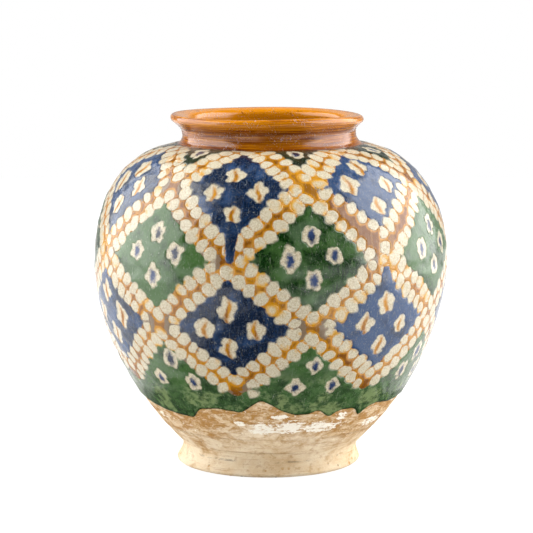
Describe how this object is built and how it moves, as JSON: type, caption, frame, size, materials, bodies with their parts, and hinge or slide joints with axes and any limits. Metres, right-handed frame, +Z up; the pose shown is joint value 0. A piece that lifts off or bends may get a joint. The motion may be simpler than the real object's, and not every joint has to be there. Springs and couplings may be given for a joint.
{
  "type": "glazed earthenware jar",
  "caption": "Globular earthenware jar with a short neck, rolled lip and splayed bare foot, under blue, green and amber lead glazes in a lozenge diaper.",
  "frame": {"origin": "centre of the foot's resting face", "axes": "+Z up along the jar's axis; the pictured side faces -Y"},
  "size_m": [0.212, 0.212, 0.21],
  "materials": {
    "buff_clay": "matt fired earthenware",
    "luting_slip": "matt fired slip",
    "white_slip": "matt worn slip",
    "amber_glaze": "glossy lead glaze",
    "blue_glaze": "glossy lead glaze",
    "green_glaze": "glossy lead glaze"
  },
  "bodies": {
    "root": {"base_disc": "buff_clay", "foot_ring": "buff_clay", "lower_wall": "buff_clay", "upper_wall": "buff_clay", "neck_collar": "buff_clay", "base_seam_slip": "luting_slip", "foot_seam_slip": "luting_slip", "belly_seam_slip": "luting_slip", "neck_seam_slip": "luting_slip", "white_slip_coat": "white_slip", "amber_lattice_glaze": "amber_glaze", "blue_shoulder_lozenges": "blue_glaze", "blue_belly_lozenges": "blue_glaze", "green_neck_lozenges": "green_glaze", "green_middle_lozenges": "green_glaze", "green_apron_glaze": "green_glaze", "amber_neck_glaze": "amber_glaze", "amber_mouth_glaze": "amber_glaze"}
  },
  "joints": []
}
